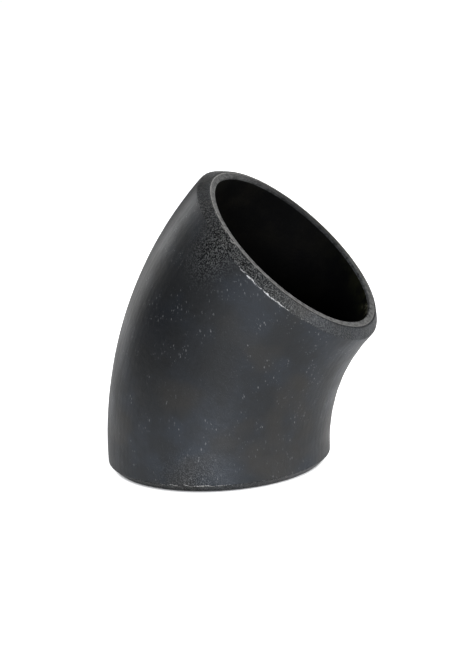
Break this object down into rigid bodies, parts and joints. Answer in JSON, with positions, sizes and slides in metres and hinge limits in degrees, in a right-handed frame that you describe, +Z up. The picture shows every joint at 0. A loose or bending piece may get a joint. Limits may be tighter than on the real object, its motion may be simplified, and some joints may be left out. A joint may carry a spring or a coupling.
{
  "type": "butt-weld pipe elbow",
  "caption": "Long-radius 45 degree butt-weld steel pipe elbow with bevelled weld ends, black lacquered outside, for turning a pipeline through an eighth of a circle.",
  "frame": {"origin": "centre of the lower end's face, on the plane of its land, where the next pipe butts", "axes": "+Z up into the fitting along the lower end's axis, +X towards the inside of the bend, so the upper end faces +X and +Z; the bend lies in the XZ plane"},
  "size_m": [0.1099, 0.0892, 0.1162],
  "materials": {
    "forged_steel": "matte",
    "black_lacquer": "satin"
  },
  "bodies": {
    "root": {"elbow_body": "forged_steel", "black_coat": "black_lacquer"}
  },
  "joints": []
}
